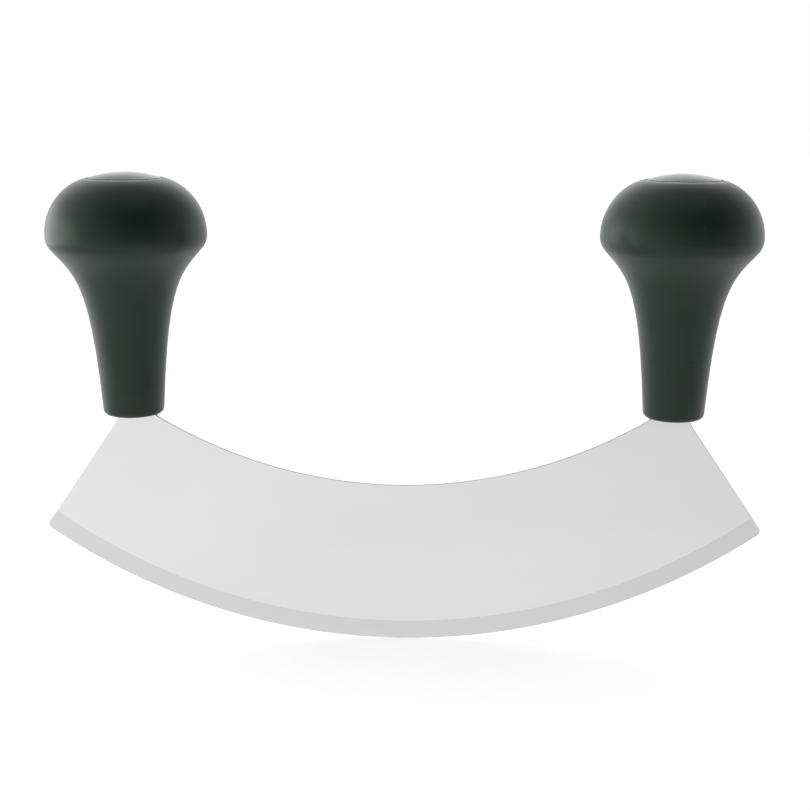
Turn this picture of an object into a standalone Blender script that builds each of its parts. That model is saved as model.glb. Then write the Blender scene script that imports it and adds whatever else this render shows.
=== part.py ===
"""A mezzaluna: a crescent chopping blade with a moulded knob on the tang at each end.

Lengths are in metres. The blade stands on the lowest point of its cutting edge, at the origin. X runs along
the blade, Y across its thickness and Z up, so the piece is the same on both sides of x = 0 and of y = 0.
"""

from math import asin, atan2, ceil, cos, pi, radians, sin, sqrt, tan

import bmesh
import bpy
from mathutils import Matrix, Vector

# What one piece keeps clear of its neighbour, where it seats or passes through
CLEARANCE = 0.0003
# How far a cutter stands past the surface that it cuts
OVERRUN = 0.0005
# Points closer than this are one point
WELD = 0.000003

# Blade: the crescent
BLADE_LENGTH = 0.220  # from tip to tip
BLADE_WIDTH = 0.0500  # from the lowest point of the edge up to the spine
BLADE_THICKNESS = 0.0015
EDGE_RADIUS = 0.1866
SPINE_RADIUS = 0.1415
END_ANGLE = radians(34.5)  # how far each end cut leans in from upright
TIP_RADIUS = 0.0018
CORNER_BREAK = 0.00015  # the stamped corners, taken off all round

# Blade: the ground bevel, the same on both sides
BEVEL_WIDTH = 0.0060
EDGE_LAND = 0.0002  # thickness left at the very edge

# Blade: the tangs
TANG_WIDTH = 0.0084
TANG_DEPTH = 0.030  # from the foot of the handle up to the floor of its well
NECK_FLARE = 0.0011  # what the blade is wider than its tang at the handle's foot
ROOT_DROP = 0.0006  # how far below the handle's foot an end cut turns up into the tang
SPINE_FILLET = 0.0060
END_FILLET = 0.0120
PEG_WIDTH = 0.0050  # the narrowed end of a tang, above its shoulders
RIVET_WIDTH = 0.0074  # the end of the peg, hammered out over the washer
RIVET_DEPTH = 0.0034
RIVET_HEIGHT = 0.0012
RIVET_CROWN = 0.0004

# Handle: its outside, from the foot up
STEM_RADIUS = 0.0091
STEM_DRAFT = radians(3.5)
FOOT_ROUNDING = 0.0015
STEM_HEIGHT = 0.0498  # from the foot to where the hollow flare turns into the round knob
KNOB_RADIUS = 0.0236
KNOB_UNDERSIDE_RADIUS = 0.0061
KNOB_UNDERSIDE_ANGLE = radians(41.6)  # how far the flare leans out where it meets the knob
SHOULDER_HEIGHT = 0.0166  # from the widest ring up to the rim
RIM_RADIUS = 0.0113
RIM_ANGLE = radians(11.3)  # how far the shoulder falls away from the rim
RIM_ROUNDING = 0.0003
# How far the curves run on in their end directions, as shares of the height or breadth they cross
FLARE_FOOT_SHARE = 0.79
FLARE_TOP_SHARE = 0.21
SHOULDER_FOOT_SHARE = 0.58
SHOULDER_TOP_SHARE = 0.44

# Handle: the hollow that opens at the top
SOCKET_RADIUS = 0.0088  # the straight part that grips the cap
SOCKET_DEPTH = 0.0075
WELL_RADIUS = 0.0062  # at the bottom, where the washer lies

# Cap
CAP_DOME = 0.00175  # what the crown rises above the rim
CAP_EDGE = 0.0013
CAP_EDGE_ROUNDING = 0.00025
CAP_WALL = 0.0014
CAP_SKIRT_LENGTH = 0.0055
CAP_SKIRT_LEAD = 0.0005  # the chamfer that leads the skirt into its socket

# Washer
WASHER_THICKNESS = 0.0012

# How far the grinding runs on past each tip
GRIND_RUN_OUT = radians(3)

# Faces that meet at less than this are one flat face
FLAT_WITHIN = radians(0.1)
# An edge sharper than this shows as an edge
SHARP_ABOVE = radians(35)
# An edge of the blade sharper than this is a stamped corner
CORNER_ABOVE = radians(50)

# Bevel's setting for a round corner
ROUND = 0.5

# How finely the round shapes are cut up
EDGE_SEGMENTS = 24  # along half of the cutting edge
SPINE_SEGMENTS = 18  # along half of the spine
FILLET_SEGMENTS = 5
CURVE_SEGMENTS = 11
ROUNDING_SEGMENTS = 3
CROWN_SEGMENTS = 2
DOME_SEGMENTS = 7
HANDLE_STEPS = 56
CAP_STEPS = 44
WASHER_STEPS = 32

STEEL = (0.72, 0.72, 0.73)
PLATED_STEEL = (0.62, 0.63, 0.65)
BLACK_PLASTIC = (0.016, 0.020, 0.018)


# Plane geometry, in the (x, z) plane


def arc(centre, start, end, segments):
    """Points from start to end on the shorter arc about centre."""
    spokes = [start - centre, end - centre]
    angles = [atan2(spoke.y, spoke.x) for spoke in spokes]
    sweep = (angles[1] - angles[0] + pi) % (2 * pi) - pi
    steps = [angles[0] + sweep * i / segments for i in range(segments + 1)]
    return [centre + spokes[0].length * Vector((cos(a), sin(a))) for a in steps]


def bezier(start, start_pull, end_pull, end, segments):
    """Points from start to end on the cubic curve that the two pulls draw out."""
    points = []
    for i in range(segments + 1):
        t = i / segments
        s = 1 - t
        points.append(s**3 * start + 3 * s * s * t * start_pull + 3 * s * t * t * end_pull + t**3 * end)
    return points


def below_circle(centre, radius, x):
    """The point of a circle's lower half that lies at x."""
    return Vector((x, centre.y - sqrt(radius**2 - (x - centre.x) ** 2)))


# The crescent's layout, all of it worked out from the sizes above

EDGE_CENTRE = Vector((0, EDGE_RADIUS))
SPINE_CENTRE = Vector((0, BLADE_WIDTH + SPINE_RADIUS))
TIP = below_circle(EDGE_CENTRE, EDGE_RADIUS, BLADE_LENGTH / 2)
END_CUT = Vector((-sin(END_ANGLE), cos(END_ANGLE)))
OUTWARD = Vector((cos(END_ANGLE), sin(END_ANGLE)))


def neck_height():
    """The height at which the end cut and the spine are the neck's width apart: the handle stands there."""
    run = tan(END_ANGLE)
    reach = TIP.x + run * TIP.y - TANG_WIDTH - NECK_FLARE
    a = 1 + run**2
    b = -2 * (run * reach + SPINE_CENTRE.y)
    c = reach**2 + SPINE_CENTRE.y**2 - SPINE_RADIUS**2
    return (-b - sqrt(b * b - 4 * a * c)) / (2 * a)


FOOT_LEVEL = neck_height()
ROOT_LEVEL = FOOT_LEVEL - ROOT_DROP
TANG_OUTSIDE = TIP.x - tan(END_ANGLE) * (ROOT_LEVEL - TIP.y)
HANDLE_AXIS = TANG_OUTSIDE - TANG_WIDTH / 2
WELL_LEVEL = FOOT_LEVEL + TANG_DEPTH
RIVET_LEVEL = WELL_LEVEL + WASHER_THICKNESS + 2 * CLEARANCE


def tip_corner(gap):
    """The rounded tip: the circle between the cutting edge and the end cut."""
    radius = TIP_RADIUS + gap
    through = TIP - TIP_RADIUS * OUTWARD
    from_centre = through - EDGE_CENTRE
    along = from_centre.dot(END_CUT)
    reach = EDGE_RADIUS - TIP_RADIUS
    centre = through - (along + sqrt(along**2 - from_centre.length_squared + reach**2)) * END_CUT
    on_edge = EDGE_CENTRE + (EDGE_RADIUS + gap) * (centre - EDGE_CENTRE).normalized()
    return arc(centre, on_edge, centre + radius * OUTWARD, FILLET_SEGMENTS)


def root_fillet(gap):
    """The hollow corner where the end cut turns up into the tang."""
    radius = END_FILLET - gap
    root = Vector((TANG_OUTSIDE, ROOT_LEVEL))
    rise = END_FILLET * tan(END_ANGLE / 2)
    centre = root + Vector((END_FILLET, rise))
    return arc(centre, centre - radius * OUTWARD, centre - Vector((radius, 0)), FILLET_SEGMENTS)


def spine_fillet(gap):
    """The hollow corner where the tang comes down into the spine."""
    radius = SPINE_FILLET - gap
    side = HANDLE_AXIS - TANG_WIDTH / 2
    centre = below_circle(SPINE_CENTRE, SPINE_RADIUS - SPINE_FILLET, side - SPINE_FILLET)
    on_spine = SPINE_CENTRE + (SPINE_RADIUS - gap) * (centre - SPINE_CENTRE).normalized()
    return arc(centre, centre + Vector((radius, 0)), on_spine, FILLET_SEGMENTS)


def tang_end(gap):
    """The tang's shoulders, just under the well's floor, and its peg, from outer side to inner."""
    half_tang = TANG_WIDTH / 2 + gap
    half_peg = PEG_WIDTH / 2 + gap
    shoulder = WELL_LEVEL - CLEARANCE / 2 + gap
    top = RIVET_LEVEL + RIVET_HEIGHT / 2 + gap
    outer = [(half_tang, shoulder), (half_peg, shoulder), (half_peg, top)]
    inner = [(-across, level) for across, level in reversed(outer)]
    return [Vector((HANDLE_AXIS + across, level)) for across, level in outer + inner]


def blade_outline(gap=0):
    """The crescent with its two tangs, grown by gap all round."""
    tip = tip_corner(gap)
    fillet = spine_fillet(gap)
    lowest = EDGE_CENTRE - Vector((0, EDGE_RADIUS + gap))
    saddle = SPINE_CENTRE - Vector((0, SPINE_RADIUS - gap))
    half = arc(EDGE_CENTRE, lowest, tip[0], EDGE_SEGMENTS)[:-1] + tip + root_fillet(gap)
    half += tang_end(gap) + fillet + arc(SPINE_CENTRE, fillet[-1], saddle, SPINE_SEGMENTS)[1:]
    mirrored = [Vector((-point.x, point.y)) for point in reversed(half[1:-1])]
    return half + mirrored


# The turned profiles: points of (radius, height) that run down the outer side

KNOB_LEVEL = STEM_HEIGHT + KNOB_UNDERSIDE_RADIUS * sin(KNOB_UNDERSIDE_ANGLE)
RIM_LEVEL = KNOB_LEVEL + SHOULDER_HEIGHT
RECESS_RADIUS = RIM_RADIUS - RIM_ROUNDING
SEAT_LEVEL = RIM_LEVEL - CAP_EDGE - CLEARANCE


def handle_shoulder():
    """From the rim, over the top of the knob, to its widest ring."""
    rim = Vector((RIM_RADIUS, RIM_LEVEL))
    widest = Vector((KNOB_RADIUS, KNOB_LEVEL))
    breadth = KNOB_RADIUS - RIM_RADIUS
    from_rim = SHOULDER_TOP_SHARE * breadth * Vector((cos(RIM_ANGLE), -sin(RIM_ANGLE)))
    to_widest = SHOULDER_FOOT_SHARE * SHOULDER_HEIGHT * Vector((0, 1))
    return bezier(rim, rim + from_rim, widest + to_widest, widest, CURVE_SEGMENTS)


def handle_underside():
    """Round the knob's lower edge, from its widest ring in to the flare."""
    centre = Vector((KNOB_RADIUS - KNOB_UNDERSIDE_RADIUS, KNOB_LEVEL))
    outward = Vector((cos(KNOB_UNDERSIDE_ANGLE), -sin(KNOB_UNDERSIDE_ANGLE)))
    end = centre + KNOB_UNDERSIDE_RADIUS * outward
    return arc(centre, Vector((KNOB_RADIUS, KNOB_LEVEL)), end, FILLET_SEGMENTS)


def handle_flare(top):
    """From the knob down the hollow flare to the slim stem, and round its foot."""
    lean = Vector((sin(KNOB_UNDERSIDE_ANGLE), cos(KNOB_UNDERSIDE_ANGLE)))
    draft = Vector((sin(STEM_DRAFT), cos(STEM_DRAFT)))
    foot = Vector((STEM_RADIUS, FOOT_ROUNDING))
    height = top.y - foot.y
    pulls = [top - FLARE_TOP_SHARE * height * lean, foot + FLARE_FOOT_SHARE * height * draft]
    centre = foot - Vector((FOOT_ROUNDING, 0))
    rounding = arc(centre, foot, centre - Vector((0, FOOT_ROUNDING)), ROUNDING_SEGMENTS)
    return bezier(top, *pulls, foot, CURVE_SEGMENTS) + rounding[1:]


def handle_hollow():
    """From the middle of the well, up its tapered wall and the socket, out over the cap's seat."""
    rim_centre = Vector((RIM_RADIUS, RIM_LEVEL - RIM_ROUNDING))
    inside = rim_centre - Vector((RIM_ROUNDING, 0))
    rounding = arc(rim_centre, inside, rim_centre + Vector((0, RIM_ROUNDING)), ROUNDING_SEGMENTS)
    hollow = [
        (0, TANG_DEPTH),
        (WELL_RADIUS, TANG_DEPTH),
        (SOCKET_RADIUS, SEAT_LEVEL - SOCKET_DEPTH),
        (SOCKET_RADIUS, SEAT_LEVEL),
        (RECESS_RADIUS, SEAT_LEVEL),
    ]
    return [Vector(point) for point in hollow] + rounding[:-1]


def handle_profile():
    underside = handle_underside()
    outside = handle_shoulder()[:-1] + underside[:-1] + handle_flare(underside[-1])
    return handle_hollow() + outside + [Vector((0, 0))]


def cap_profile():
    """A domed disc with a ring-shaped skirt under it. Heights are above the cap's seat."""
    edge = RECESS_RADIUS - CLEARANCE
    skirt = SOCKET_RADIUS - CLEARANCE
    hollow = skirt - CAP_WALL
    dome_radius = (edge**2 + CAP_DOME**2) / (2 * CAP_DOME)
    centre = Vector((0, CAP_EDGE + CAP_DOME - dome_radius))
    crown = centre + Vector((0, dome_radius))
    inset = edge - CAP_EDGE_ROUNDING
    dome_end = centre + Vector((inset, sqrt(dome_radius**2 - inset**2)))
    dome = arc(centre, crown, dome_end, DOME_SEGMENTS)
    below = [
        (edge, CAP_EDGE - CAP_EDGE_ROUNDING),
        (edge, 0),
        (skirt, 0),
        (skirt, CAP_SKIRT_LEAD - CAP_SKIRT_LENGTH),
        (skirt - CAP_SKIRT_LEAD, -CAP_SKIRT_LENGTH),
        (hollow, -CAP_SKIRT_LENGTH),
        (hollow, 0),
        (0, 0),
    ]
    return dome + [Vector(point) for point in below]


# Making objects


def clear_scene():
    for thing in list(bpy.data.objects):
        bpy.data.objects.remove(thing)


def new_collection(name):
    collection = bpy.data.collections.new(name)
    bpy.context.scene.collection.children.link(collection)
    return collection


def new_material(name, colour, metallic, roughness):
    material = bpy.data.materials.new(name)
    material.use_nodes = True
    shader = material.node_tree.nodes["Principled BSDF"]
    shader.inputs["Base Color"].default_value = (*colour, 1)
    shader.inputs["Metallic"].default_value = metallic
    shader.inputs["Roughness"].default_value = roughness
    return material


def new_object(name, mesh, collection, location=(0, 0, 0)):
    thing = bpy.data.objects.new(name, mesh)
    thing.location = location
    collection.objects.link(thing)
    return thing


def smooth(thing):
    thing.data.shade_smooth()
    thing.data.set_sharp_from_angle(angle=SHARP_ABOVE)


def as_mesh(thing, name, flat_faces=False):
    """Takes away a curve or a modified object, and gives the mesh that it draws, welded."""
    bpy.context.view_layer.update()
    graph = bpy.context.evaluated_depsgraph_get()
    mesh = bpy.data.meshes.new_from_object(thing.evaluated_get(graph))
    mesh.name = name
    mesh.transform(thing.matrix_world)
    bpy.data.objects.remove(thing)
    shape = bmesh.new()
    shape.from_mesh(mesh)
    bmesh.ops.remove_doubles(shape, verts=shape.verts, dist=WELD)
    if flat_faces:
        bmesh.ops.dissolve_limit(shape, angle_limit=FLAT_WITHIN, verts=shape.verts, edges=shape.edges)
    bmesh.ops.recalc_face_normals(shape, faces=shape.faces)
    shape.to_mesh(mesh)
    shape.free()
    return mesh


def plate(name, outline, thickness, collection):
    """A flat plate in the upright plane, cut to an outline, half its thickness on each side of y = 0."""
    flat = bpy.data.curves.new(name, "CURVE")
    flat.dimensions = "2D"
    flat.fill_mode = "BOTH"
    flat.extrude = thickness / 2
    spline = flat.splines.new("POLY")
    spline.points.add(len(outline) - 1)
    for place, point in zip(spline.points, outline):
        place.co = (point.x, point.y, 0, 1)
    spline.use_cyclic_u = True
    standing = new_object(name, flat, collection)
    standing.rotation_euler.x = pi / 2
    return new_object(name, as_mesh(standing, name, flat_faces=True), collection)


def turn(name, profile, steps, collection):
    """A solid turned about its own Z axis from a profile that runs down its outer side."""
    line = bpy.data.meshes.new(name)
    points = [(point.x, 0, point.y) for point in profile]
    edges = [(i, i + 1) for i in range(len(points) - 1)]
    line.from_pydata(points, edges, [])
    spun = new_object(name, line, collection)
    screw = spun.modifiers.new("Turn", "SCREW")
    screw.axis = "Z"
    screw.angle = 2 * pi
    screw.steps = steps
    screw.render_steps = steps
    screw.use_merge_vertices = True
    screw.merge_threshold = WELD
    return new_object(name, as_mesh(spun, name), collection)


def combine(thing, helper, operation, name):
    helper.hide_render = True
    helper.display_type = "WIRE"
    boolean = thing.modifiers.new(name, "BOOLEAN")
    boolean.operation = operation
    boolean.object = helper


# The pieces


def grinding_path(side, cutters):
    """What a wheel grinds off one side of the edge: a thin triangle spun about the edge's centre."""
    steepness = (BLADE_THICKNESS - EDGE_LAND) / 2 / BEVEL_WIDTH
    inner = EDGE_RADIUS - BEVEL_WIDTH - OVERRUN
    outer = EDGE_RADIUS + OVERRUN
    above = BLADE_THICKNESS / 2 + steepness * OVERRUN
    below = EDGE_LAND / 2 - steepness * OVERRUN
    step = asin(tip_corner(0)[0].x / EDGE_RADIUS) / EDGE_SEGMENTS
    # An odd number of steps, so that the path's facets lie astride the corners of the cutting edge
    steps = 2 * (EDGE_SEGMENTS + ceil(GRIND_RUN_OUT / step)) + 1
    turned_back = Matrix.Rotation(steps * step / 2, 3, "Y")
    middle = Vector((0, 0, EDGE_RADIUS))
    shape = bmesh.new()
    section = [(0, side * above, -inner), (0, side * above, -outer), (0, side * below, -outer)]
    corners = [shape.verts.new(middle + turned_back @ Vector(point)) for point in section]
    face = shape.faces.new(corners)
    bmesh.ops.spin(
        shape,
        geom=[*corners, *face.edges, face],
        cent=middle,
        axis=(0, 1, 0),
        angle=-steps * step,
        steps=steps,
    )
    bmesh.ops.recalc_face_normals(shape, faces=shape.faces)
    mesh = bpy.data.meshes.new("grinding_path")
    shape.to_mesh(mesh)
    shape.free()
    return new_object("grinding_path", mesh, cutters)


def rivet_head(side, cutters):
    """The hammered end of a tang, a low block with rounded upper corners."""
    shape = bmesh.new()
    bmesh.ops.create_cube(shape, size=1)
    bmesh.ops.scale(shape, vec=(RIVET_WIDTH, RIVET_DEPTH, RIVET_HEIGHT), verts=shape.verts)
    upper = [edge for edge in shape.edges if any(corner.co.z > 0 for corner in edge.verts)]
    bmesh.ops.bevel(
        shape, geom=upper, offset=RIVET_CROWN, segments=CROWN_SEGMENTS, profile=ROUND, affect="EDGES"
    )
    mesh = bpy.data.meshes.new("rivet_head")
    shape.to_mesh(mesh)
    shape.free()
    return new_object("rivet_head", mesh, cutters, (side * HANDLE_AXIS, 0, RIVET_LEVEL + RIVET_HEIGHT / 2))


def make_blade(parts, cutters, steel):
    blade = plate("blade", blade_outline(), BLADE_THICKNESS, parts)
    corners = blade.modifiers.new("Corners", "BEVEL")
    corners.width = CORNER_BREAK
    corners.segments = 1
    corners.limit_method = "ANGLE"
    corners.angle_limit = CORNER_ABOVE
    for side in (-1, 1):
        combine(blade, grinding_path(side, cutters), "DIFFERENCE", "Ground bevel")
        combine(blade, rivet_head(side, cutters), "UNION", "Rivet head")
    blade.data.materials.append(steel)


def make_handle(name, side, slot, parts, plastic):
    handle = turn(name, handle_profile(), HANDLE_STEPS, parts)
    handle.location = (side * HANDLE_AXIS, 0, FOOT_LEVEL)
    smooth(handle)
    combine(handle, slot, "DIFFERENCE", "Slot")
    handle.data.materials.append(plastic)


def make_cap(name, side, parts, plastic):
    cap = turn(name, cap_profile(), CAP_STEPS, parts)
    cap.location = (side * HANDLE_AXIS, 0, FOOT_LEVEL + SEAT_LEVEL + CLEARANCE)
    smooth(cap)
    cap.data.materials.append(plastic)


def make_washer(name, side, slot, parts, steel):
    shape = bmesh.new()
    radius = WELL_RADIUS - CLEARANCE
    bmesh.ops.create_cone(
        shape, cap_ends=True, segments=WASHER_STEPS, radius1=radius, radius2=radius, depth=WASHER_THICKNESS
    )
    mesh = bpy.data.meshes.new(name)
    shape.to_mesh(mesh)
    shape.free()
    washer = new_object(name, mesh, parts)
    washer.location = (side * HANDLE_AXIS, 0, WELL_LEVEL + CLEARANCE + WASHER_THICKNESS / 2)
    smooth(washer)
    combine(washer, slot, "DIFFERENCE", "Slot")
    washer.data.materials.append(steel)


def main():
    clear_scene()
    parts = new_collection("mezzaluna")
    cutters = new_collection("cutters")
    steel = new_material("satin_steel", STEEL, 1, 0.32)
    plated = new_material("plated_steel", PLATED_STEEL, 1, 0.25)
    matte = new_material("matte_plastic", BLACK_PLASTIC, 0, 0.55)
    gloss = new_material("smooth_plastic", BLACK_PLASTIC, 0, 0.2)
    slot = plate("tang_slot", blade_outline(CLEARANCE), BLADE_THICKNESS + 2 * CLEARANCE, cutters)
    make_blade(parts, cutters, steel)
    for side, end in ((-1, "left"), (1, "right")):
        make_handle(f"handle_{end}", side, slot, parts, matte)
        make_cap(f"cap_{end}", side, parts, gloss)
        make_washer(f"washer_{end}", side, slot, parts, plated)


main()
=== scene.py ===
"""The looks of a mezzaluna: satin steel, fine-textured black plastic, a white studio and the camera.

Lengths are in metres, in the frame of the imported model: X along the blade, Y through it away from the
camera, Z up from the lowest point of the cutting edge.
"""

from math import pi, radians

import bpy
from mathutils import Matrix, Vector

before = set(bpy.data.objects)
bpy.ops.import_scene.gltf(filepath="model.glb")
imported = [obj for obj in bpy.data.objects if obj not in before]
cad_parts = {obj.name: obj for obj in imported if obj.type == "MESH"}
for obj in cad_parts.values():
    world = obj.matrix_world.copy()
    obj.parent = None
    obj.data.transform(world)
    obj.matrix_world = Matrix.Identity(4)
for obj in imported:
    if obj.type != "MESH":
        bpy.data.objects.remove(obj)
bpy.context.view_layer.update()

# Camera, worked out from the photograph's outlines

CAMERA_PLACE = Vector((0.01262, -0.40668, 0.16900))
CAMERA_PITCH = radians(-13.02)
CAMERA_YAW = radians(1.66)
CAMERA_ROLL = radians(-0.11)
CAMERA_LENS = 61.54
CAMERA_SENSOR = 36
CAMERA_NEAR = 0.01


def make_camera():
    """The camera at the photograph's place, level and framing."""
    data = bpy.data.cameras.new("camera")
    data.lens = CAMERA_LENS
    data.sensor_width = CAMERA_SENSOR
    data.clip_start = CAMERA_NEAR
    camera = bpy.data.objects.new("camera", data)
    bpy.context.scene.collection.objects.link(camera)
    turned = Matrix.Rotation(CAMERA_YAW, 4, "Z") @ Matrix.Rotation(CAMERA_PITCH + pi / 2, 4, "X")
    camera.matrix_world = Matrix.Translation(CAMERA_PLACE) @ turned @ Matrix.Rotation(-CAMERA_ROLL, 4, "Z")
    bpy.context.scene.camera = camera


# Node helpers

# Most of a noise lies within this reach of one half
NOISE_REACH = 0.2


class Nodes:
    """A node tree, with short ways to add to it."""

    def __init__(self, tree):
        self.tree = tree
        tree.nodes.clear()

    def add(self, kind, inputs=None, **settings):
        """A new node, with its inputs set to values or linked to the outputs given for them."""
        node = self.tree.nodes.new(kind)
        for name, value in settings.items():
            setattr(node, name, value)
        for socket, value in (inputs or {}).items():
            if isinstance(value, bpy.types.NodeSocket):
                self.tree.links.new(value, node.inputs[socket])
            else:
                node.inputs[socket].default_value = value
        return node

    def math(self, operation, first, second=0.0):
        return self.add("ShaderNodeMath", {0: first, 1: second}, operation=operation).outputs[0]

    def product(self, first, *others):
        for other in others:
            first = self.math("MULTIPLY", first, other)
        return first

    def highest(self, first, *others):
        for other in others:
            first = self.math("MAXIMUM", first, other)
        return first

    def vector(self, operation, first, second=(0, 0, 0), output="Vector"):
        inputs = {0: first, 1: second}
        return self.add("ShaderNodeVectorMath", inputs, operation=operation).outputs[output]

    def dot(self, first, second):
        return self.vector("DOT_PRODUCT", first, second, "Value")

    def parts(self, vector):
        return self.add("ShaderNodeSeparateXYZ", {0: vector}).outputs

    def ramp(self, value, low, high, to_low=0.0, to_high=1.0, smooth=True):
        kind = "SMOOTHSTEP" if smooth else "LINEAR"
        inputs = {0: value, 1: low, 2: high, 3: to_low, 4: to_high}
        return self.add("ShaderNodeMapRange", inputs, interpolation_type=kind).outputs[0]

    def between(self, mask, at_zero, at_one):
        """One value where a mask is 0, and another where it is 1."""
        return self.ramp(mask, 0.0, 1.0, at_zero, at_one, smooth=False)

    def spread(self, noise, low=0.0, high=1.0, reach=NOISE_REACH):
        """A noise's values within the reach of one half, spread from low to high."""
        return self.ramp(noise, 0.5 - reach, 0.5 + reach, low, high)

    def mix(self, factor, first, second):
        inputs = {0: factor, 6: first, 7: second}
        return self.add("ShaderNodeMix", inputs, data_type="RGBA").outputs[2]

    def noise(self, vector, scale=1.0, detail=2.0, roughness=0.5):
        inputs = {"Vector": vector, "Scale": scale, "Detail": detail, "Roughness": roughness}
        return self.add("ShaderNodeTexNoise", inputs).outputs[0]

    def stretch(self, vector, scale):
        return self.add("ShaderNodeMapping", {"Vector": vector, "Scale": scale}).outputs[0]

    def place(self):
        return self.add("ShaderNodeTexCoord").outputs["Object"]

    def bump(self, height, distance, strength):
        inputs = {"Height": height, "Distance": distance, "Strength": strength}
        return self.add("ShaderNodeBump", inputs).outputs[0]

    def principled(self, inputs):
        """End a material's nodes with a Principled shader, whose plain values are set on its sockets."""
        shader = self.add("ShaderNodeBsdfPrincipled", inputs)
        self.add("ShaderNodeOutputMaterial", {0: shader.outputs[0]})


def nodes_of(owner):
    """The emptied nodes of a material or the world."""
    owner.use_nodes = True
    return Nodes(owner.node_tree)


def new_material(name):
    material = bpy.data.materials.new(name)
    return material, nodes_of(material)


# Studio: a white floor, a surround that is dim above the camera, light above and behind, and two soft boxes

# Just under the cutting edge
FLOOR_LEVEL = -0.00002
FLOOR_REACH = 3.0
FLOOR_WHITE = (0.7, 0.7, 0.7, 1)
# What the floor shines by itself where the camera sees it, so that it comes out white
FLOOR_GLOW = 0.66
# How bright shiny surfaces see the floor near the object, and where it has faded away to one side
MIRRORED_NEAR = 0.98
MIRRORED_FAR = 0.45
# The way that it fades, and how far out the fading begins and ends
FADE_WAY = (0.643, -0.766, 0)
FADE_START = 0.41
FADE_END = 0.78
# By which share they see it brighter at the left end of this length, and dimmer at its right end
SIDE_FALL = 0.10
SIDE_LENGTH = 0.4

# How bright the surround is, and how bright in the middle of its dim part
SURROUND = 1.12
DIMMEST = 0.1
# The way to that middle, and how squarely a place lies that way where the dimming begins and where it ends
DIM_WAY = (0.448, -0.497, 0.743)
DIM_START = -0.187
DIM_FULL = 1.0
# A light overhead: how bright it is, and how squarely a place lies above where it begins
CEILING = 0.55
CEILING_START = 0.67
# A light low behind the object: how bright it is, the way to it, and how squarely a place lies that way
# where the light begins and where it is full
BACKLIGHT = 1.5
BACK_WAY = (0, 0.951, 0.309)
BACK_START = 0.86
BACK_FULL = 0.97

# The soft boxes stand on the floor to the left and right of the object and face it. The power of each is pi
# times its radiance and its area.
SOFTBOX_WIDTH = 0.6
SOFTBOX_HEIGHT = 0.25
SOFTBOX_DISTANCE = 0.45
SOFTBOX_SETBACK = 0.12
RADIANCE_LEFT = 1.5
RADIANCE_RIGHT = 0.2


def mirrored_floor(nodes):
    """How bright the floor is in reflections."""
    place = nodes.place()
    fade = nodes.ramp(nodes.dot(place, FADE_WAY), FADE_START, FADE_END, MIRRORED_NEAR, MIRRORED_FAR)
    half = SIDE_LENGTH / 2
    tilt = nodes.ramp(nodes.parts(place)["X"], -half, half, 1 + SIDE_FALL, 1 - SIDE_FALL, smooth=False)
    return nodes.product(fade, tilt)


def floor_paper():
    """White paper with the object's shadow on it, and with a brightness of its own in reflections."""
    material, nodes = new_material("floor")
    path = nodes.add("ShaderNodeLightPath").outputs
    glow = nodes.product(path["Is Camera Ray"], FLOOR_GLOW)
    paper = nodes.add("ShaderNodeBsdfDiffuse", {"Color": FLOOR_WHITE}).outputs[0]
    shine = nodes.add("ShaderNodeEmission", {"Strength": glow}).outputs[0]
    seen = nodes.add("ShaderNodeAddShader", {0: paper, 1: shine}).outputs[0]
    mirrored = nodes.add("ShaderNodeEmission", {"Strength": mirrored_floor(nodes)}).outputs[0]
    shown = nodes.add("ShaderNodeMixShader", {0: path["Is Glossy Ray"], 1: seen, 2: mirrored}).outputs[0]
    nodes.add("ShaderNodeOutputMaterial", {0: shown})
    return material


def make_floor():
    mesh = bpy.data.meshes.new("floor")
    sides = ((-1, -1), (1, -1), (1, 1), (-1, 1))
    corners = [(x * FLOOR_REACH, y * FLOOR_REACH, FLOOR_LEVEL) for x, y in sides]
    mesh.from_pydata(corners, [], [(0, 1, 2, 3)])
    mesh.materials.append(floor_paper())
    floor = bpy.data.objects.new("floor", mesh)
    bpy.context.scene.collection.objects.link(floor)


def make_world():
    """The surround and the two wide lights in it, which the camera sees as plain white."""
    world = bpy.data.worlds.new("studio")
    bpy.context.scene.world = world
    nodes = nodes_of(world)
    direction = nodes.add("ShaderNodeTexCoord").outputs["Generated"]
    around = nodes.ramp(nodes.dot(direction, DIM_WAY), DIM_START, DIM_FULL, SURROUND, DIMMEST, smooth=False)
    above = nodes.ramp(nodes.dot(direction, (0, 0, 1)), CEILING_START, 1.0, 0.0, CEILING)
    behind = nodes.ramp(nodes.dot(direction, BACK_WAY), BACK_START, BACK_FULL, 0.0, BACKLIGHT)
    camera = nodes.add("ShaderNodeLightPath").outputs["Is Camera Ray"]
    shown = nodes.between(camera, nodes.highest(around, above, behind), 1.0)
    background = nodes.add("ShaderNodeBackground", {"Color": (1, 1, 1, 1), "Strength": shown}).outputs[0]
    nodes.add("ShaderNodeOutputWorld", {0: background})


def make_softbox(side, radiance):
    """An area lamp to the left of the object, at side -1, or to the right, at side 1."""
    data = bpy.data.lights.new("softbox", "AREA")
    data.shape = "RECTANGLE"
    data.size = SOFTBOX_WIDTH
    data.size_y = SOFTBOX_HEIGHT
    data.energy = radiance * pi * SOFTBOX_WIDTH * SOFTBOX_HEIGHT
    lamp = bpy.data.objects.new("softbox", data)
    lamp.location = (side * SOFTBOX_DISTANCE, SOFTBOX_SETBACK, SOFTBOX_HEIGHT / 2)
    lamp.rotation_euler = (pi / 2, 0, side * pi / 2)
    lamp.visible_camera = False
    bpy.context.scene.collection.objects.link(lamp)


# Blade steel

# How squarely a face looks across the blade: SIDE_FACING or more on its sides, from BEVEL_FACING down to
# UNCUT_FACING on its ground bevels, and CUT_FACING or less on its cut edges
SIDE_FACING = 0.9995
BEVEL_FACING = 0.9985
UNCUT_FACING = 0.9
CUT_FACING = 0.8
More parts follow.
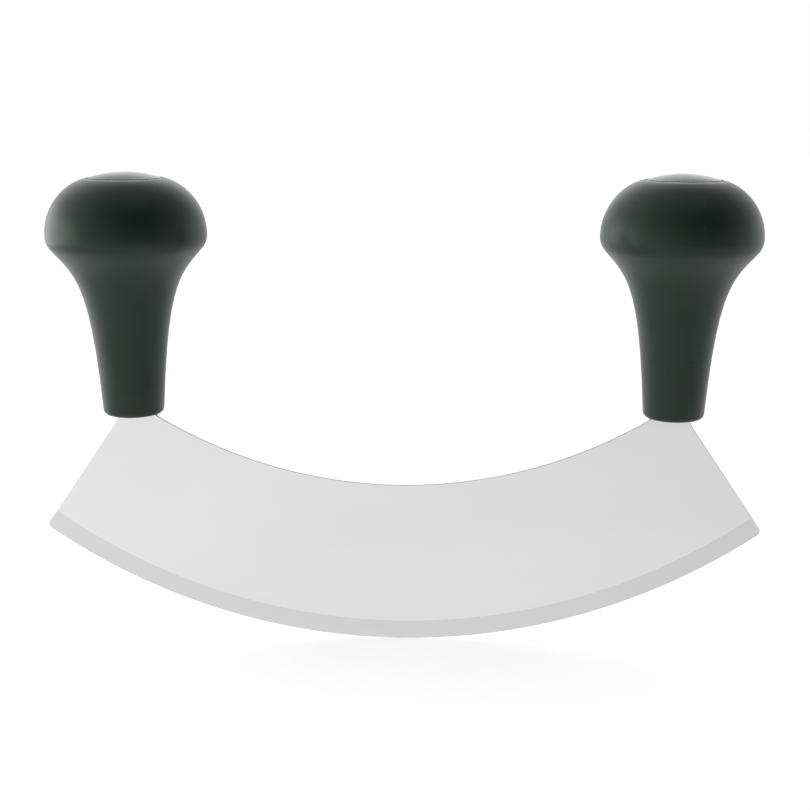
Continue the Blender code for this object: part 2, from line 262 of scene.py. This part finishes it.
# How steeply a cut edge runs where it starts to count as an end cut, and where it is one
SPINE_STEEPNESS = 0.5
END_STEEPNESS = 1.2
# The middle of the circle that the cutting edge lies on
EDGE_CENTRE = (0, 0, 0.1866)

STEEL = (0.79, 0.79, 0.80)
# How bright the ground bevels are beside the sides, and the spine and the end cuts beside the bevels; the
# end cuts, which face the sides, are a painted shade darker than the spine on top
BEVEL_SHADE = 0.85
SPINE_SHADE = 0.95
PAINTED_END_SHADE = 0.72
# Between which shades the clouds and the grinding lines vary
CLOUD_SHADES = (0.985, 1.015)
LINE_SHADES = (0.985, 1.012)
STEEL_ROUGHNESS = (0.21, 0.27)
# How far from one half the lines' noise lies where the roughness is at its lowest or highest
ROUGHNESS_REACH = 0.25
# How far the grinding lines draw a reflection out, square to themselves
STEEL_STRETCH = 0.3
# How many clouds and grinding lines go to a metre along X, Y and Z, and how many lines on the bevels to a
# radian round the edge and to a metre across it
STEEL_CLOUDS = (14, 14, 40)
SIDE_LINES = (45, 300, 3800)
BEVEL_LINES = (700, 90, 1)
# Scale, detail and roughness of the lines' noise
LINE_NOISE = (1.0, 3.0, 0.6)
# Depth and strength of the lines' bump
LINE_BUMP = (0.000004, 0.5)


def blade_regions(nodes):
    """How far a face is ground or cut, which counts as ground too, and how far a cut one is an end cut."""
    looks = nodes.parts(nodes.add("ShaderNodeNewGeometry").outputs["True Normal"])
    facing = nodes.math("ABSOLUTE", looks["Y"])
    ground = nodes.ramp(facing, BEVEL_FACING, SIDE_FACING, 1.0, 0.0, smooth=False)
    cut = nodes.ramp(facing, CUT_FACING, UNCUT_FACING, 1.0, 0.0, smooth=False)
    # A steep cut edge counts as an end cut, which gets a painted shade, darker than the spine
    steepness = nodes.math("ABSOLUTE", nodes.math("DIVIDE", looks["X"], looks["Z"]))
    return ground, cut, nodes.ramp(steepness, SPINE_STEEPNESS, END_STEEPNESS)


def grinding_lines(nodes, place, ground):
    """Fine lines along the sides, and square to the cutting edge on the bevels, and the way across them."""
    from_centre = nodes.vector("SUBTRACT", place, EDGE_CENTRE)
    offset = nodes.parts(from_centre)
    angle = nodes.math("ARCTAN2", offset["X"], nodes.product(offset["Z"], -1.0))
    radius = nodes.vector("LENGTH", from_centre, output="Value")
    round_edge = nodes.add("ShaderNodeCombineXYZ", {"X": angle, "Y": radius}).outputs[0]
    along_side = nodes.noise(nodes.stretch(place, SIDE_LINES), *LINE_NOISE)
    across_bevel = nodes.noise(nodes.stretch(round_edge, BEVEL_LINES), *LINE_NOISE)
    upright = nodes.add("ShaderNodeCombineXYZ", {"Z": 1.0}).outputs[0]
    along_edge = nodes.vector("CROSS_PRODUCT", from_centre, (0, 1, 0))
    return nodes.mix(ground, along_side, across_bevel), nodes.mix(ground, upright, along_edge)


def satin_steel():
    """Sheet steel ground in fine lines along X, with darker ground bevels and cut edges, and a painted
    shade on the end cuts.
    """
    material, nodes = new_material("satin_steel")
    place = nodes.place()
    ground, cut, end_shade_mask = blade_regions(nodes)
    lines, across = grinding_lines(nodes, place, ground)
    clouds = nodes.noise(nodes.stretch(place, STEEL_CLOUDS))
    shade = nodes.product(
        nodes.spread(clouds, *CLOUD_SHADES),
        nodes.spread(lines, *LINE_SHADES),
        nodes.between(ground, 1.0, BEVEL_SHADE),
        # Painted shade: the end cuts come out darker than the spine on top
        nodes.between(cut, 1.0, nodes.between(end_shade_mask, SPINE_SHADE, PAINTED_END_SHADE)),
    )
    colour = nodes.add("ShaderNodeVectorMath", {0: STEEL, "Scale": shade}, operation="SCALE").outputs[0]
    nodes.principled({
        "Metallic": 1.0,
        "Anisotropic": STEEL_STRETCH,
        "Tangent": across,
        "Base Color": colour,
        "Roughness": nodes.spread(lines, *STEEL_ROUGHNESS, reach=ROUGHNESS_REACH),
        "Normal": nodes.bump(lines, *LINE_BUMP),
    })
    return material


# Plastic and plating

PLASTIC_DARK = (0.0024, 0.0100, 0.0064, 1)
PLASTIC_LIGHT = (0.0052, 0.0182, 0.0120, 1)
PLATING_DARK = (0.58, 0.59, 0.61, 1)
PLATING_LIGHT = (0.66, 0.67, 0.69, 1)
MATTE_ROUGHNESS = (0.34, 0.40)
CAP_ROUGHNESS = (0.20, 0.25)
PLATING_ROUGHNESS = (0.24, 0.36)
# The handles' reflections are weak and greenish face on, and white at a slant, where a sheen lies over them
MATTE_IOR = 1.44
MATTE_TINT = (0.86, 1.0, 0.93, 1)
SHEEN = 0.3
SHEEN_ROUGHNESS = 0.4
CAP_IOR = 1.6
# Scale, detail and roughness of the noises
MATTE_CLOUDS = (95.0, 3.0, 0.55)
MATTE_GRAIN = (3200.0, 2.0, 0.6)
CAP_CLOUDS = (160.0, 3.0, 0.55)
CAP_GRAIN = (2600.0, 2.0, 0.5)
SPANGLE = (1400.0, 2.0, 0.6)
# Depth and strength of the bumps
MATTE_BUMP = (0.00002, 0.5)
CAP_BUMP = (0.000006, 0.4)
# Specks of dust that lie in the texture, one to a cell: how many cells go to a metre, and how far from a
# speck's middle, in cells, it is whole and where it ends
DUST = (0.16, 0.17, 0.165, 1)
DUST_CELLS = 260.0
DUST_HEART = 0.012
DUST_RIM = 0.034


def matte_plastic():
    """Moulded plastic with a fine eroded texture, faintly clouded, with a few specks of dust."""
    material, nodes = new_material("matte_plastic")
    place = nodes.place()
    clouds = nodes.noise(place, *MATTE_CLOUDS)
    clean = nodes.mix(nodes.spread(clouds), PLASTIC_DARK, PLASTIC_LIGHT)
    cells = nodes.add("ShaderNodeTexVoronoi", {"Vector": place, "Scale": DUST_CELLS}).outputs
    dusty = nodes.ramp(cells["Distance"], DUST_HEART, DUST_RIM, 1.0, 0.0)
    nodes.principled({
        "IOR": MATTE_IOR,
        "Specular Tint": MATTE_TINT,
        "Sheen Weight": SHEEN,
        "Sheen Roughness": SHEEN_ROUGHNESS,
        "Base Color": nodes.mix(dusty, clean, DUST),
        "Roughness": nodes.spread(clouds, *MATTE_ROUGHNESS),
        "Normal": nodes.bump(nodes.noise(place, *MATTE_GRAIN), *MATTE_BUMP),
    })
    return material


def smooth_plastic():
    """The cap's plastic, smoother than the handle's."""
    material, nodes = new_material("smooth_plastic")
    place = nodes.place()
    clouds = nodes.noise(place, *CAP_CLOUDS)
    nodes.principled({
        "IOR": CAP_IOR,
        "Base Color": nodes.mix(nodes.spread(clouds), PLASTIC_DARK, PLASTIC_LIGHT),
        "Roughness": nodes.spread(clouds, *CAP_ROUGHNESS),
        "Normal": nodes.bump(nodes.noise(place, *CAP_GRAIN), *CAP_BUMP),
    })
    return material


def plated_steel():
    """Zinc plating, with its faint spangle and dull spots."""
    material, nodes = new_material("plated_steel")
    spangle = nodes.noise(nodes.place(), *SPANGLE)
    nodes.principled({
        "Metallic": 1.0,
        "Base Color": nodes.mix(nodes.spread(spangle), PLATING_DARK, PLATING_LIGHT),
        "Roughness": nodes.spread(spangle, *PLATING_ROUGHNESS),
    })
    return material


# Smooth shading

# Corners nearer than this are welded, and edges bent more than this stay sharp
WELD_DISTANCE = 0.000001
SHARP_ANGLE = radians(35)
# A face that looks across the blade at least this squarely is one of its flat sides
FLAT_FACING = 0.99999


def smooth_by_angle():
    """Geometry nodes that weld a mesh and shade it smooth, except on flat sides and across sharp edges."""
    tree = bpy.data.node_groups.new("smooth_by_angle", "GeometryNodeTree")
    for way in ("INPUT", "OUTPUT"):
        tree.interface.new_socket("Geometry", in_out=way, socket_type="NodeSocketGeometry")
    nodes = Nodes(tree)
    given = nodes.add("NodeGroupInput").outputs[0]
    welded = nodes.add("GeometryNodeMergeByDistance", {0: given, "Distance": WELD_DISTANCE}).outputs[0]
    looks = nodes.parts(nodes.add("GeometryNodeInputNormal").outputs[0])
    facing = nodes.math("ABSOLUTE", looks["Y"])
    curved = nodes.add("FunctionNodeCompare", {0: facing, 1: FLAT_FACING}, operation="LESS_THAN").outputs[0]
    faces = nodes.add("GeometryNodeSetShadeSmooth", {0: welded, "Shade Smooth": curved}).outputs[0]
    angle = nodes.add("GeometryNodeInputMeshEdgeAngle").outputs["Unsigned Angle"]
    soft = nodes.add("FunctionNodeCompare", {0: angle, 1: SHARP_ANGLE}, operation="LESS_THAN").outputs[0]
    inputs = {0: faces, "Shade Smooth": soft}
    edges = nodes.add("GeometryNodeSetShadeSmooth", inputs, domain="EDGE").outputs[0]
    nodes.add("NodeGroupOutput", {0: edges})
    return tree


def dress(name, material, smoothing):
    """Give a CAD node its material, and smooth shading in place of the normals that it came with."""
    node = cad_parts[name]
    node.data.attributes.remove(node.data.attributes["custom_normal"])
    node.data.materials.clear()
    node.data.materials.append(material)
    node.modifiers.new("Smooth", "NODES").node_group = smoothing


make_camera()
make_floor()
make_world()
make_softbox(-1, RADIANCE_LEFT)
make_softbox(1, RADIANCE_RIGHT)

smoothing = smooth_by_angle()
dress("blade", satin_steel(), smoothing)
matte, smooth, plated = matte_plastic(), smooth_plastic(), plated_steel()
for end in ("left", "right"):
    dress(f"handle_{end}", matte, smoothing)
    dress(f"cap_{end}", smooth, smoothing)
    dress(f"washer_{end}", plated, smoothing)

bpy.context.scene.view_settings.view_transform = "Standard"
